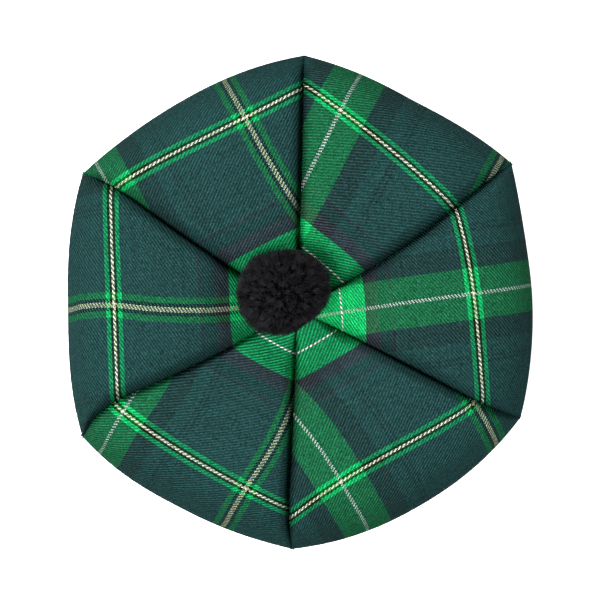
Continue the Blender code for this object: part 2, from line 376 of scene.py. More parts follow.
# %% Place of each gore on the woven length
Laid = namedtuple(
    "Laid", "name across along wider longer warp_lean weft_lean warp_bow weft_bow weft_twist")
LAID = [
    Laid("gore_back_right", 32.0, 88.1, 0.947, 1.094, -0.4, 10.4, -0.4, 1.5, 0.5),
    Laid("gore_back_left", 66.9, 82.9, 1.025, 0.990, 1.2, 0.5, -2.4, 0.1, -0.9),
    Laid("gore_left", 95.8, 89.2, 0.954, 1.028, 0.0, -5.7, -1.9, -0.3, 0.2),
    Laid("gore_front_left", 125.0, 90.1, 1.083, 1.029, -2.1, -1.5, -5.7, 2.2, 0.0),
    Laid("gore_front_right", -29.4, 97.2, 1.007, 1.093, -1.1, 1.1, -5.1, -1.6, -1.6),
    Laid("gore_right", 3.1, 93.3, 1.015, 1.093, 1.3, -3.6, -1.3, 2.8, -1.1),
]
LAID_AT, LAID_FAR = 110.0, 50.0


def on_the_sett(across, along, laid):
    """The gore's measures on the woven cloth.

    p is across / LAID_FAR and q is (along - LAID_AT) / LAID_FAR. The warp measure is its own
    plus LAID_FAR wider p + lean q + bow q^2, and the weft measure its own plus LAID_FAR
    longer q + lean p + bow p^2 + twist p^3.
    """
    p, q = across / LAID_FAR, (along - LAID_AT) / LAID_FAR
    warp = laid.across + LAID_FAR * laid.wider * p + laid.warp_lean * q + laid.warp_bow * q**2
    weft = laid.along + LAID_FAR * laid.longer * q + laid.weft_lean * p
    weft = weft + laid.weft_bow * p**2 + laid.weft_twist * p**3
    return np.stack([warp, weft], axis=2)


print("laid on the sett:", ", ".join(laid.name for laid in LAID))

# %% [markdown]
# ## A wall of cloth
#
# Wool cloth of this weight is a little over 1 mm thick. A Solidify modifier would give a
# single face that thickness, but its edges bulge where three columns run into the seam.
# The wall is made directly: the face, its copy moved inwards, and a strip round the edge.

# %% Make a mesh from a face and its lining side
CLOTH = 1.2
CREASE = math.radians(60)  # an edge that turns more than this is a sharp one


def face_normals(points):
    """Unit normals of a grid: the step along crossed with the step across."""
    normal = np.cross(np.gradient(points, axis=0), np.gradient(points, axis=1))
    return normal / np.linalg.norm(normal, axis=2, keepdims=True)


def quads(index):
    """Corner numbers of the faces between neighbouring points of a grid of numbers."""
    corners = (index[:-1, :-1], index[1:, :-1], index[1:, 1:], index[:-1, 1:])
    return np.stack(corners, axis=2).reshape(-1, 4)


def cloth_shell(name, points, measures, thickness):
    """A wall of cloth: the face, the same face moved inwards, and a strip round the edge."""
    rows, columns = points.shape[:2]
    lining = points - thickness * face_normals(points)
    outer = np.arange(rows * columns).reshape(rows, columns)
    inner = outer + rows * columns
    loop = np.concatenate([outer[0, :-1], outer[:-1, -1], outer[-1, :0:-1], outer[:0:-1, 0]])
    ahead = np.roll(loop, -1)
    strip = np.stack([loop, ahead, ahead + rows * columns, loop + rows * columns], axis=1)
    faces = np.concatenate([quads(outer), quads(inner)[:, ::-1], strip])
    corners = np.concatenate([points.reshape(-1, 3), lining.reshape(-1, 3)])
    flat = np.concatenate([measures.reshape(-1, 2)] * 2)
    return finish_mesh(name, corners, faces, flat)


def finish_mesh(name, corners, faces, flat, flat_faces=None):
    """Numbers into a smooth mesh object: corners in mm, and the cloth's measures as UVs.

    flat_faces says which measure each corner of a face takes, where a surface that closes
    on itself needs two measures at one point.
    """
    mesh = bpy.data.meshes.new(name)
    mesh.from_pydata((corners * MM).tolist(), [], faces.tolist())
    uv = mesh.uv_layers.new(name="cloth")
    at = (faces if flat_faces is None else flat_faces).ravel()
    uv.data.foreach_set("uv", flat[at].astype(np.float32).ravel())
    mesh.polygons.foreach_set("use_smooth", np.ones(len(mesh.polygons), dtype=bool))
    obj = bpy.data.objects.new(name, mesh)
    bpy.context.collection.objects.link(obj)
    return obj


print("wall of cloth:", CLOTH, "mm")

# %% [markdown]
# ## The woven finish
#
# The cloth is a worsted wool kilt cloth in a 2/2 twill: each weft thread passes over two
# warp ends and under two, one end further on at every pick, which gives the slanting
# ribs. A tartan has the same stripes in warp and weft, so a solid colour shows only where
# a stripe crosses itself.
#
# A repeating picture would be the short way, and a checker of plain bands a shorter one.
# The threads are woven in the shader instead: whole numbers of threads are counted from
# the cloth's measures, a colour ramp with hard steps gives each thread its dye, and the
# twill rule says which thread lies on top. The stripes then break up into slanting dashes
# by themselves, just as the yellow line in the photograph does.

# %% Helpers for every finish
def srgb(text):
    """sRGB hex as linear RGBA: c / 12.92 near black, else ((c + 0.055) / 1.055) ^ 2.4."""
    c = np.array([int(text[k:k + 2], 16) for k in (1, 3, 5)]) / 255
    return (*np.where(c <= 0.04045, c / 12.92, ((c + 0.055) / 1.055) ** 2.4), 1.0)


def add_node(tree, kind, inputs=None, **settings):
    """Adds a shader node, with its settings, and its inputs as values or as links."""
    node = tree.nodes.new("ShaderNode" + kind)
    for name, value in settings.items():
        setattr(node, name, value)
    for socket, value in (inputs or {}).items():
        if isinstance(value, bpy.types.NodeSocket):
            tree.links.new(value, node.inputs[socket])
        else:
            node.inputs[socket].default_value = value
    return node


def new_finish(name, roughness, gloss):
    """A new material with its node tree and its shader, as rough and as glossy as given."""
    made = bpy.data.materials.new(name)
    made.use_nodes = True
    shader = made.node_tree.nodes["Principled BSDF"]
    shader.inputs["Roughness"].default_value = roughness
    shader.inputs["Specular IOR Level"].default_value = gloss
    return made, made.node_tree, shader


def measures_of(tree):
    """The two measures that every piece carries in its UV map, as sockets."""
    split = add_node(tree, "SeparateXYZ", {0: add_node(tree, "UVMap", uv_map="cloth").outputs[0]})
    return split.outputs["X"], split.outputs["Y"]


print("dark green #234645, linear:", [round(float(c), 3) for c in srgb("#234645")[:3]])

# %% [markdown]
# ## The sett
#
# The sett is the order of the stripes. A weaver writes it as a list of colours with their
# numbers of threads, which is read forwards, then backwards, and so on. It could be drawn as
# a strip of colours, but a list of threads is the weaver's own measure and stays sharp at
# any size. So the same list serves here, counted on the photograph.
#
# Each dye has one tone for the warp and one for the weft, because the warp is spun harder
# and takes its dye deeper. It also has a loft for each: how far the loose fibres of the yarn
# spread over the thread that it crosses, from 0 for the smooth yarn of the fine lines.

# %% Dyes and counts of threads
END_PITCH, PICK_PITCH = 0.703, 0.53  # mm from thread to thread, warp and weft
Dye = namedtuple("Dye", "warp weft warp_loft weft_loft")
DYES = {
    "white": Dye("#DAFADC", "#FFFFFF", 0.0, 0.0),
    "green": Dye("#049C3A", "#1AA661", 1.0, 1.0),
    "leaf": Dye("#04A03C", "#158F56", 1.0, 1.0),
    "teal": Dye("#234645", "#234645", 0.7, 0.98),
    "aubergine": Dye("#1C1212", "#363E46", 0.8, 0.8),
    "heather": Dye("#1C1A1C", "#2C3A40", 0.8, 0.8),
    "black": Dye("#12150F", "#15281C", 0.0, 0.0),
    "shade": Dye("#1F413E", "#1F413E", 0.7, 0.98),
    "yellow": Dye("#DEE8B6", "#C2CCAE", 0.0, 0.0),
}
Stripe = namedtuple("Stripe", "dye ends picks")
HALF_SETT = [  # from the middle of the white line to the middle of the yellow one
    Stripe("white", 1.5, 1.0),
    Stripe("green", 20.0, 33.0),
    Stripe("aubergine", 18.0, 19.0),
    Stripe("teal", 12.0, 16.0),
    Stripe("heather", 2.0, 2.0),
    Stripe("teal", 2.0, 1.0),
    Stripe("heather", 2.0, 2.0),
    Stripe("teal", 9.0, 14.0),
    Stripe("shade", 2.0, 3.0),
    Stripe("teal", 51.0, 71.0),
    Stripe("leaf", 5.0, 5.0),
    Stripe("black", 3.0, 3.0),
    Stripe("yellow", 2.0, 1.5),
]
HALF_ENDS = sum(s.ends for s in HALF_SETT)
HALF_PICKS = sum(s.picks for s in HALF_SETT)
print("half sett:", HALF_ENDS, "ends,", HALF_PICKS, "picks,",
      round(HALF_ENDS * END_PITCH), "by", round(HALF_PICKS * PICK_PITCH), "mm")

# %% [markdown]
# ## Weaving it in the shader
#
# A shader answers one question: which colour and which height has this point? The table
# below answers it line by line, as a spreadsheet would. Every line names its result and is
# one math node. The nodes could be placed by hand, but fifty of them are easier to read, and
# to change, as a table.

# %% The weave, step by step
WARP_SHOWS = 0.40  # half of an end's width, in pitches, that covers the weft below it
WARP_SHADE = 0.52  # brightness of the warp against the weft: painted shade on the warp floats, which lie in the furrow
# painted shade: HOLLOW darkens a thread where it dips under its neighbour
HOLLOW = 0.62  # brightness of a thread where it dips under, against its crown
# painted shade: FURROW darkens the slanting furrow against the rib beside it
FURROW = 0.2  # how much darker the slanting furrow is than the rib beside it
FURROW_FROM = 2.5  # threads from a rib's first weft float to the middle of the furrow
THREAD_RELIEF, RIB_RELIEF = 0.2, 0.5  # shares of the relief's depth
WEAVE = [
    # result, operation, first value, second value
    # an end lies along the middle of the white line, and a pick on either side of it
    ("ends_over", "DIVIDE", "warp_mm", END_PITCH),
    ("ends", "ADD", "ends_over", 0.5),
    ("picks", "DIVIDE", "weft_mm", PICK_PITCH),
    ("end", "FLOOR", "ends", 0.0),
    ("pick", "FLOOR", "picks", 0.0),
    ("in_end", "FRACT", "ends", 0.0),
    ("in_pick", "FRACT", "picks", 0.0),
    ("end_bounced", "PINGPONG", "end", HALF_ENDS),
    ("pick_middle", "ADD", "pick", 0.5),
    ("pick_bounced", "PINGPONG", "pick_middle", HALF_PICKS),
    ("end_share", "DIVIDE", "end_bounced", HALF_ENDS),
    ("pick_share", "DIVIDE", "pick_bounced", HALF_PICKS),
    # the twill: step counts 0, 1 where the weft is on top and 2, 3 where the warp is
    ("apart", "SUBTRACT", "end", "pick"),
    ("step", "FLOORED_MODULO", "apart", 4.0),
    ("weft_up", "LESS_THAN", "step", 1.5),
    ("warp_up", "SUBTRACT", 1.0, "weft_up"),
    ("off_end", "SUBTRACT", "in_end", 0.5),
    ("off_end_far", "ABSOLUTE", "off_end", 0.0),
    ("end_covers", "LESS_THAN", "off_end_far", WARP_SHOWS),
    ("warp_shows", "MULTIPLY", "warp_up", "end_covers"),
    # the float of a weft thread: a half wave over two ends, round across its pick
    ("weft_walk", "ADD", "step", "in_end"),
    ("weft_turn", "MULTIPLY", "weft_walk", math.pi / 2),
    ("weft_arch", "SINE", "weft_turn", 0.0),
    ("pick_turn", "MULTIPLY", "in_pick", math.pi),
    ("pick_round", "SINE", "pick_turn", 0.0),
    ("weft_high", "MULTIPLY", "weft_arch", "pick_round"),
    ("weft_top", "MAXIMUM", "weft_high", 0.0),
    ("weft_height", "MULTIPLY", "weft_top", "weft_up"),
    # the float of a warp thread: a half wave over two picks, round across its end
    ("warp_back", "SUBTRACT", 3.0, "step"),
    ("warp_walk", "ADD", "warp_back", "in_pick"),
    ("warp_turn", "MULTIPLY", "warp_walk", math.pi / 2),
    ("warp_arch", "SINE", "warp_turn", 0.0),
    ("end_turn", "MULTIPLY", "off_end", math.pi),
    ("end_round", "COSINE", "end_turn", 0.0),
    ("warp_high", "MULTIPLY", "warp_arch", "end_round"),
    ("warp_height", "MULTIPLY", "warp_high", "warp_shows"),
    ("height", "ADD", "weft_height", "warp_height"),
    # painted shade of each thread: lighter on its crown, darker where it dips under
    ("crown_part", "MULTIPLY", "height", 1.0 - HOLLOW),
    ("crown_lit", "ADD", "crown_part", HOLLOW),
    # the furrow: a wave over four threads along the slant, painted as shade in the furrow and also used
    # as relief
    ("slant", "SUBTRACT", "ends", "picks"),
    ("from_furrow", "SUBTRACT", "slant", FURROW_FROM),
    ("furrow_turn", "MULTIPLY", "from_furrow", math.pi / 2),
    ("furrow_wave", "COSINE", "furrow_turn", 0.0),
    ("furrow_part", "MULTIPLY", "furrow_wave", -FURROW / 2),
    ("rib_lit", "ADD", "furrow_part", 1.0 - FURROW / 2),
    ("thread_lit", "MULTIPLY", "crown_lit", "rib_lit"),
    # painted shade: the warp is darker where it shows, lying in the furrow
    ("warp_darker", "MULTIPLY", "warp_shows", WARP_SHADE - 1.0),
    ("warp_lit", "ADD", "warp_darker", 1.0),
    ("lit", "MULTIPLY", "thread_lit", "warp_lit"),
    ("thread_part", "MULTIPLY", "height", THREAD_RELIEF),
    ("rib_part", "MULTIPLY", "furrow_wave", -RIB_RELIEF),
    ("relief", "ADD", "thread_part", "rib_part"),
]
print("steps of the weave:", len(WEAVE))

# %% [markdown]
# ## Dyeing the threads
#
# Worsted cloth is fulled and pressed, so its fibres blur where one thread ends and the next
# begins: two dark yarns run into one tone, while a smooth line stays crisp like a rope. Two
# woven layers could be mixed by a painted mask, but the yarns know it themselves. So each
# stop of a dye's ramp holds its loft in the alpha, and the loft of the end times the loft of
# the pick says how far the two are blended.
#
# Bright wool on bright wool also glows, because light scatters on in it. Only where green
# crosses green is the product 1, so there the colour is raised.

# %% The colour of each thread
UNEVEN = 0.10  # how much lighter or darker a thread takes its dye
RAMP_STEPS = 255  # a ramp is read in so many steps
STEP_AHEAD = 0.3


def dyed_threads(tree, number, share, field, yarn):
    """Colour and loft of the threads of one system: hard stops at the stripes' counts.

    A stripe starts STEP_AHEAD before the step of the ramp that its first thread falls in.
    """
    ramp = add_node(tree, "ValToRGB", {0: share})
    ramp.color_ramp.interpolation = "CONSTANT"
    count = np.cumsum([0] + [getattr(s, field) for s in HALF_SETT])
    steps = np.floor((count[:-1] + 0.5) / count[-1] * RAMP_STEPS) - STEP_AHEAD
    stops = ramp.color_ramp.elements
    stops.remove(stops[1])
    for stripe, place in zip(HALF_SETT, np.maximum(steps, 0) / RAMP_STEPS):
        stop = stops[0] if place == 0 else stops.new(place)
        dye = DYES[stripe.dye]
        stop.color = (*srgb(getattr(dye, yarn))[:3], getattr(dye, yarn + "_loft"))
    uneven = add_node(tree, "TexWhiteNoise", {"W": number}, noise_dimensions="1D").outputs["Value"]
    level = add_node(tree, "MapRange", {0: uneven, 3: 1.0 - UNEVEN, 4: 1.0 + UNEVEN})
    dyed = add_node(tree, "VectorMath", {0: ramp.outputs["Color"], "Scale": level.outputs[0]},
                    operation="SCALE")
    return dyed.outputs[0], ramp.outputs["Alpha"]


print("dyes:", ", ".join(DYES))

# %% Weave the tartan
BLENDED_WARP = 0.265  # the warp's share of the colour where the fibres hide the threads
GLOW = 0.52  # extra light where green crosses green
BOTH_GREEN = 0.99  # where the product of the lofts is over this, both threads are green
FLEECE, FLEECE_TONE = 1.0, 0.55  # size of the mottling, and how much lighter or darker it is
FLEECE_FROM, FLEECE_TO = 0.3, 0.7  # the part of the noise that it uses
RELIEF = 0.50  # depth that the threads and the ribs have their shares of


def tartan(name):
    """Worsted wool twill: matt, hardly any gloss, ribbed at 53 degrees to the warp."""
    made, tree, shader = new_finish(name, roughness=0.86, gloss=0.02)
    warp_mm, weft_mm = measures_of(tree)
    got = {"warp_mm": warp_mm, "weft_mm": weft_mm}
    for result, operation, first, second in WEAVE:
        values = {k: got.get(value, value) for k, value in enumerate((first, second))}
        got[result] = add_node(tree, "Math", values, operation=operation).outputs[0]

    end, end_loft = dyed_threads(tree, got["end"], got["end_share"], "ends", "warp")
    pick, pick_loft = dyed_threads(tree, got["pick"], got["pick_share"], "picks", "weft")
    loft = add_node(tree, "Math", {0: end_loft, 1: pick_loft}, operation="MULTIPLY").outputs[0]
    shows = add_node(tree, "Mix", {"Factor": loft, 2: got["warp_shows"], 3: BLENDED_WARP})
    woven = add_node(tree, "Mix", {"Factor": shows.outputs[0], 6: pick, 7: end}, data_type="RGBA")
    green = add_node(tree, "Math", {0: loft, 1: BOTH_GREEN}, operation="GREATER_THAN")
    glow = add_node(tree, "Math", {0: green.outputs[0], 1: GLOW, 2: 1.0}, operation="MULTIPLY_ADD")
    # lit carries the weave's painted shade, and glow the painted light where green crosses green
    lit = add_node(tree, "Math", {0: got["lit"], 1: glow.outputs[0]}, operation="MULTIPLY")
    # wool fibres of slightly different tone, mixed before spinning
    place = add_node(tree, "TexCoord").outputs["Object"]
    fleece = add_node(tree, "TexNoise", {"Vector": place, "Scale": 1.0 / (FLEECE * MM), "Detail": 2.0})
    mottled = add_node(tree, "MapRange", {0: fleece.outputs["Fac"], 1: FLEECE_FROM, 2: FLEECE_TO,
                                          3: 1.0 - FLEECE_TONE, 4: 1.0 + FLEECE_TONE})
    tone = add_node(tree, "Math", {0: lit.outputs[0], 1: mottled.outputs[0]}, operation="MULTIPLY")
    colour = add_node(tree, "VectorMath", {0: woven.outputs[2], "Scale": tone.outputs[0]},
                      operation="SCALE")
    tree.links.new(colour.outputs[0], shader.inputs["Base Color"])
    relief = add_node(tree, "Bump", {"Height": got["relief"], "Distance": RELIEF * MM, "Strength": 1.0})
    tree.links.new(relief.outputs[0], shader.inputs["Normal"])
    return made


TARTAN = tartan("worsted wool tartan, 2-2 twill")
print("nodes in the tartan:", len(TARTAN.node_tree.nodes))

# %% [markdown]
# ## Sewing up the crown
#
# A maker sews six gores into a crown by hand. Each could also be turned 60 degrees from one
# pattern, but the photograph shows six different corners and six cuts of the tartan. So
# each is worked out from its own row of the tables.

# %% Sew up the crown
for index, (gore, laid) in enumerate(zip(GORES, LAID)):
    cloth = gore_face(index)
    across, along = lay_flat(gore_face(index, rolled=False), axis_of(index))
    piece = cloth_shell("cloth_" + gore.name, cloth.points, on_the_sett(across, along, laid), CLOTH)
    piece.data.set_sharp_from_angle(angle=CREASE)
    piece.data.materials.append(TARTAN)
    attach(piece, "root")
    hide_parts(gore.name)
    cut = lay_flat(cloth, axis_of(index))

# %% [markdown]
# ## The headband
#
# The band is a straight strip of the same tartan, folded double round a ring that fits the
# head, with its fold at the bottom and its raw edges sewn inside the crown. Its ends are
# joined at the back. It could be a solidified cylinder, but the fold needs its round edge,
# so a closed section is carried round the circle: down the outside, round the fold and up
# the inside.

# %% A folded band
BAND_STEPS = 288
FOLD_ROUND = 1.4
WALL_POINTS, FOLD_POINTS = 13, 9
JOIN_AT = math.pi / 2  # at the back
JOIN_DEEP, JOIN_WIDE = 0.35, 1.2
Ripple = namedtuple("Ripple", "deep waves shift")
RIPPLES = [Ripple(0.25, 7, 0.0), Ripple(0.12, 19, 1.0)]


def band_section():
    """Points of the section as (out from the inner face, up), and the cloth's length there.

    Straight down the outside, half a circle of FOLD_ROUND round the fold, straight up.
    """
    wall = BAND_OUTER - BAND_INNER
    down = np.linspace(BAND_TALL, FOLD_ROUND, WALL_POINTS)
    round_it = np.linspace(0.0, -math.pi, FOLD_POINTS + 2)[1:-1]
    fold = wall / 2 + wall / 2 * np.cos(round_it)
    out = np.concatenate([np.full(WALL_POINTS, wall), fold, np.zeros(WALL_POINTS)])
    up = np.concatenate([down, FOLD_ROUND + FOLD_ROUND * np.sin(round_it), down[::-1]])
    length = np.concatenate([[0.0], np.cumsum(np.hypot(np.diff(out), np.diff(up)))])
    return out, up, length


def band_reach(out, up, turn):
    """Radius of the section's points round the ring.

    The ripples, sines round the ring, keep the band from being a pipe. The join is a shallow
    groove, JOIN_DEEP e^-(d / JOIN_WIDE)^2 at the distance d from it. Both fade to the edges.
    """
    ripple = sum(r.deep * np.sin(r.waves * turn + r.shift) for r in RIPPLES)
    distance = BAND_INNER * np.abs((turn - JOIN_AT + math.pi) % (2 * math.pi) - math.pi)
    ripple = ripple - JOIN_DEEP * np.exp(-(distance / JOIN_WIDE) ** 2)
    return BAND_INNER + out + ripple * np.sin(np.clip(up / BAND_TALL, 0, 1) * math.pi)


def headband():
    """The section carried round the ring, from the join back to the join."""
    out, up, length = band_section()
    turn = JOIN_AT + np.linspace(0.0, 2 * math.pi, BAND_STEPS + 1)
    r = band_reach(out[:, None], up[:, None], turn)
    points = np.stack([r * np.cos(turn), r * np.sin(turn), up[:, None] + 0 * turn], axis=2)
    measures = np.stack(np.broadcast_arrays(BAND_OUTER * turn, length[:, None]), axis=2)
    ring = np.arange(r.size).reshape(r.shape)
    flat_faces = quads(np.concatenate([ring, ring[:1]]))
    # the last column lies on the first, which takes its faces
    row, column = np.divmod(flat_faces, BAND_STEPS + 1)
    faces = row * BAND_STEPS + column % BAND_STEPS
    corners = points[:, :-1].reshape(-1, 3)
    return finish_mesh("folded_headband", corners, faces, measures.reshape(-1, 2), flat_faces)


band = headband()
band.data.set_sharp_from_angle(angle=CREASE)
band.data.materials.append(TARTAN)
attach(band, "root")
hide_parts("headband")
print("headband:", round(2 * math.pi * BAND_OUTER), "mm round,", len(band.data.polygons), "faces")

# %% [markdown]
# ## The stitches of the band
#
# A row of machine stitches just above the fold keeps the band flat. On the real band each
# stitch is a short run of thread that dives into the cloth at both ends. It could be drawn
# into the cloth's finish, but a thread catches the light on its round back. So every stitch
# is a small closed bead, half sunk in the cloth, and the row is one mesh worked out at once.

# %% The row of stitches
STITCH_HIGH = 5.0
STITCH_LONG, STITCH_PITCH = 2.5, 3.3
THREAD = 0.45  # its thickness
STITCH_RINGS, STITCH_SIDES = 7, 6


def ball_faces(rings, sides):
    """Triangles of a closed ball: rings of points from pole to pole, then the two poles."""
    number = np.arange(rings * sides).reshape(rings, sides)
    number = np.concatenate([number, number[:, :1]], axis=1)
    sheet = quads(number)
    first, last = np.full(sides, rings * sides), np.full(sides, rings * sides + 1)
    cap = np.stack([first, number[0, :-1], number[0, 1:]], axis=1)
    base = np.stack([last, number[-1, 1:], number[-1, :-1]], axis=1)
    return np.concatenate([sheet[:, [0, 1, 2]], sheet[:, [0, 2, 3]], cap, base])


def stitch_row():
    """Beads along the band: at t from -1 to 1 the thread is THREAD / 2 sqrt(1 - t^4) thick."""
    count = round(2 * math.pi * BAND_OUTER / STITCH_PITCH)
    middle = JOIN_AT + (np.arange(count) + 0.5) * 2 * math.pi / count
    t = np.linspace(-1.0, 1.0, STITCH_RINGS + 2)
    thick = THREAD / 2 * np.sqrt(1.0 - t**4)
    round_it = np.arange(STITCH_SIDES) * 2 * math.pi / STITCH_SIDES
    turn = middle[:, None, None] + (STITCH_LONG / 2 / BAND_OUTER * t)[:, None]
    wall = band_reach(BAND_OUTER - BAND_INNER, STITCH_HIGH, turn)
    r = wall + thick[:, None] * np.cos(round_it)
    z = STITCH_HIGH + thick[:, None] * np.sin(round_it)
    beads = np.stack(np.broadcast_arrays(r * np.cos(turn), r * np.sin(turn), z), axis=3)
    # the rings between the ends, then one point at each end
    ends = beads[:, [0, -1], 0]
    beads = np.concatenate([beads[:, 1:-1].reshape(count, -1, 3), ends], axis=1)
    along, about = STITCH_LONG / 2 * t[1:-1], np.arange(STITCH_SIDES) / STITCH_SIDES
    twist = np.stack(np.meshgrid(along, about, indexing="ij"), axis=2).reshape(-1, 2)
    twist = np.concatenate([twist, [[t[0], 0], [t[-1], 0]]])
    return beads, np.tile(twist, (count, 1))


beads, twist = stitch_row()
bead_faces = ball_faces(STITCH_RINGS, STITCH_SIDES)
bead_faces = (bead_faces + beads.shape[1] * np.arange(len(beads))[:, None, None]).reshape(-1, 3)
stitches = finish_mesh("band_stitches", beads.reshape(-1, 3), bead_faces, twist)
print("stitches:", len(beads), "triangles:", len(bead_faces))

# %% The finish of the thread
PLY_LONG, PLY_DEEP = 0.35, 0.05  # how often a ply comes round, and its relief
# PLY_DARK and PLY_BRIGHT follow the ply's relief: painted shade in the grooves between the plies,
# lighter on their crests
PLY_DARK, PLY_BRIGHT = 0.55, 1.2


def sewing_thread(name):
    """Spun polyester sewing thread, dark green: a little gloss, two plies twisted together."""
    made, tree, shader = new_finish(name, roughness=0.55, gloss=0.3)
    along, about = measures_of(tree)
    ply = add_node(tree, "Math", {0: along, 1: 1 / PLY_LONG, 2: about}, operation="MULTIPLY_ADD")
    turn = add_node(tree, "Math", {0: ply.outputs[0], 1: 2 * math.pi}, operation="MULTIPLY")
    wave = add_node(tree, "Math", {0: turn.outputs[0]}, operation="SINE").outputs[0]
    level = add_node(tree, "MapRange", {0: wave, 1: -1.0, 3: PLY_DARK, 4: PLY_BRIGHT})
    colour = add_node(tree, "VectorMath", {0: srgb("#1E463C")[:3], "Scale": level.outputs[0]},
                      operation="SCALE")
    tree.links.new(colour.outputs[0], shader.inputs["Base Color"])
    relief = add_node(tree, "Bump", {"Height": wave, "Distance": PLY_DEEP * MM})
    tree.links.new(relief.outputs[0], shader.inputs["Normal"])
    return made


stitches.data.materials.append(sewing_thread("spun polyester sewing thread"))
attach(stitches, "root")
print("thread:", stitches.data.materials[0].name)

# %% [markdown]
# ## The toorie
#
# A toorie is wound from soft black wool, tied through the middle, cut open and trimmed to
# a ball. What shows is the cut ends of hundreds of yarns. Each has opened into fibres that
# curl and lean on their neighbours, so the pile looks like curly velvet.
#
# Hair particles would do it, but they leave no mesh behind. Here every fibre is a slim
# three-sided spike, and all of them are worked out together: yarns spread evenly over the
# ball by the golden angle, and fibres spread round their own yarn. A closed core behind
# them stops the eye.

# %% Yarn ends
YARNS, FIBRES = 900, 19
TOORIE_LOW, TOORIE_HIGH = (corner[2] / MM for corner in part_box("toorie"))
TOORIE_MIDDLE = np.array([-9.3, 5.3, (TOORIE_LOW + TOORIE_HIGH) / 2])
TOORIE_HALF = np.array([26.8, 25.8, (TOORIE_HIGH - TOORIE_LOW) / 2])
Trimmed = namedtuple("Trimmed", "side_deg longer power")
TRIMMED = [  # in the photograph the ball is full at three sides and cut flat at the front right
    Trimmed(33.0, 0.12, 6.0),
    Trimmed(168.0, 0.07, 3.0),
    Trimmed(225.0, 0.05, 8.0),
    Trimmed(310.0, -0.12, 4.0),
]
Wave = namedtuple("Wave", "deep by_x by_y by_z shift")
TRIM_WAVES = [
    Wave(0.016, 3.1, 4.3, 0.0, 1.0),
    Wave(0.012, 0.0, 5.2, -3.7, 2.0),
    Wave(0.010, 7.0, 0.0, -4.1, 0.0),
]


def unit(vectors):
    """Vectors of length 1 in the same directions."""
    return vectors / np.linalg.norm(vectors, axis=-1, keepdims=True)


def golden_directions(count):
    """Evenly scattered directions: equal steps in height, each turned by the golden angle."""
    k = np.arange(count)
    z = 1.0 - (2.0 * k + 1.0) / count
    turn = k * math.pi * (3.0 - math.sqrt(5.0))
    flat = np.sqrt(1.0 - z**2)
    return np.stack([flat * np.cos(turn), flat * np.sin(turn), z], axis=1)


def hand_trimmed(way):
    """How far the scissors went in each direction, with 1 for the ball.

    Slow waves run over it. For each row of TRIMMED it changes by longer times the cosine of
    the angle to that side, to its power.
    """
    x, y, z = way.T
    length = 1.0
    for wave in TRIM_WAVES:
        phase = wave.by_x * x + wave.by_y * y + wave.by_z * z + wave.shift
        length = length + wave.deep * np.sin(phase)
    for side in TRIMMED:
        turn = math.radians(side.side_deg)
        towards = np.maximum(x * math.cos(turn) + y * math.sin(turn), 0.0)
        length = length + side.longer * towards**side.power
    return length


print("toorie, mm:", (2 * TOORIE_HALF).round(1).tolist(), "with", YARNS, "yarns")

# %% A fibre for each end of wool
ROOT_SHARE = 0.74  # where the fibres start, with the ball's radius as 1
FIBRE_THICK, NECK = 0.20, 0.8  # half thickness at the root, and its share at the bend
YARN_LEAN, FIBRE_LEAN = 0.055, 0.050  # how far yarns and fibres stray from straight out
CURL = 0.95  # how strongly a fibre curls
BEND_AT, BEND_CURL, TIP_CURL = 0.6, 0.6, 0.5
TRIM_YARN, TRIM_FIBRE, TRIM_LIMIT = 0.014, 0.016, 1.035  # how uneven the cut is, and its longest
ASIDE = (0.3, 0.5, 0.81)  # any direction will do, as long as no fibre points that way


def toorie_fibres(rng):
    """Spikes from root to tip, as points (fibre, place, xyz).

    A yarn's root is its direction times ROOT_SHARE. Each fibre leaves it at its own slight
    angle. Its bend, BEND_AT of the way, is pushed aside by BEND_CURL of its curl, and its
    tip the other way by TIP_CURL of it. Its two rings are triangles about that line, and it
    narrows to a point.
    """
    yarn = golden_directions(YARNS)
    lean = unit(yarn + rng.normal(0, YARN_LEAN, (YARNS, 3)))
    way = np.repeat(yarn, FIBRES, axis=0)
    count = len(way)
    splay = unit(np.repeat(lean, FIBRES, axis=0) + rng.normal(0, FIBRE_LEAN, (count, 3)))
    trim = 1.0 + np.repeat(rng.normal(0, TRIM_YARN, YARNS), FIBRES) + rng.normal(0, TRIM_FIBRE, count)
    trim = np.minimum(trim, TRIM_LIMIT) * hand_trimmed(splay)
    root = TOORIE_MIDDLE + ROOT_SHARE * way * TOORIE_HALF
    curl = CURL * np.cross(splay, rng.normal(0, 1, (count, 3)))
    tip = TOORIE_MIDDLE + splay * TOORIE_HALF * trim[:, None] + TIP_CURL * curl
    bend = root + BEND_AT * (tip - root) - BEND_CURL * curl
    side = unit(np.cross(splay, ASIDE))
    other = np.cross(splay, side)
    angle = np.arange(3) * 2 * math.pi / 3
    ring = side[:, None] * np.cos(angle)[:, None] + other[:, None] * np.sin(angle)[:, None]
    low = root[:, None] + FIBRE_THICK * ring
    high = bend[:, None] + NECK * FIBRE_THICK * ring
    return np.concatenate([low, high, tip[:, None]], axis=1)


FIBRE_SEED = 1746
spikes = toorie_fibres(np.random.default_rng(FIBRE_SEED))
count = len(spikes)
print("fibres:", count)

# %% The core, and one mesh of it all
CORE_SHARE = 0.84
CORE_RINGS, CORE_SIDES = 24, 48
SHADE_SEED = 46
SPIKE_POINTS = 7  # three round the root, three round the bend, and the tip
SPIKE = np.array([[0, 2, 1], [0, 1, 4], [0, 4, 3], [1, 2, 5], [1, 5, 4], [2, 0, 3], [2, 3, 5],
                  [3, 4, 6], [4, 5, 6], [5, 3, 6]])
PLACES = [0, 0, 0, BEND_AT, BEND_AT, BEND_AT, 1.0]  # of a spike's points along the fibre
YARN_TONE = 0.5  # how much of a fibre's tone is its yarn's


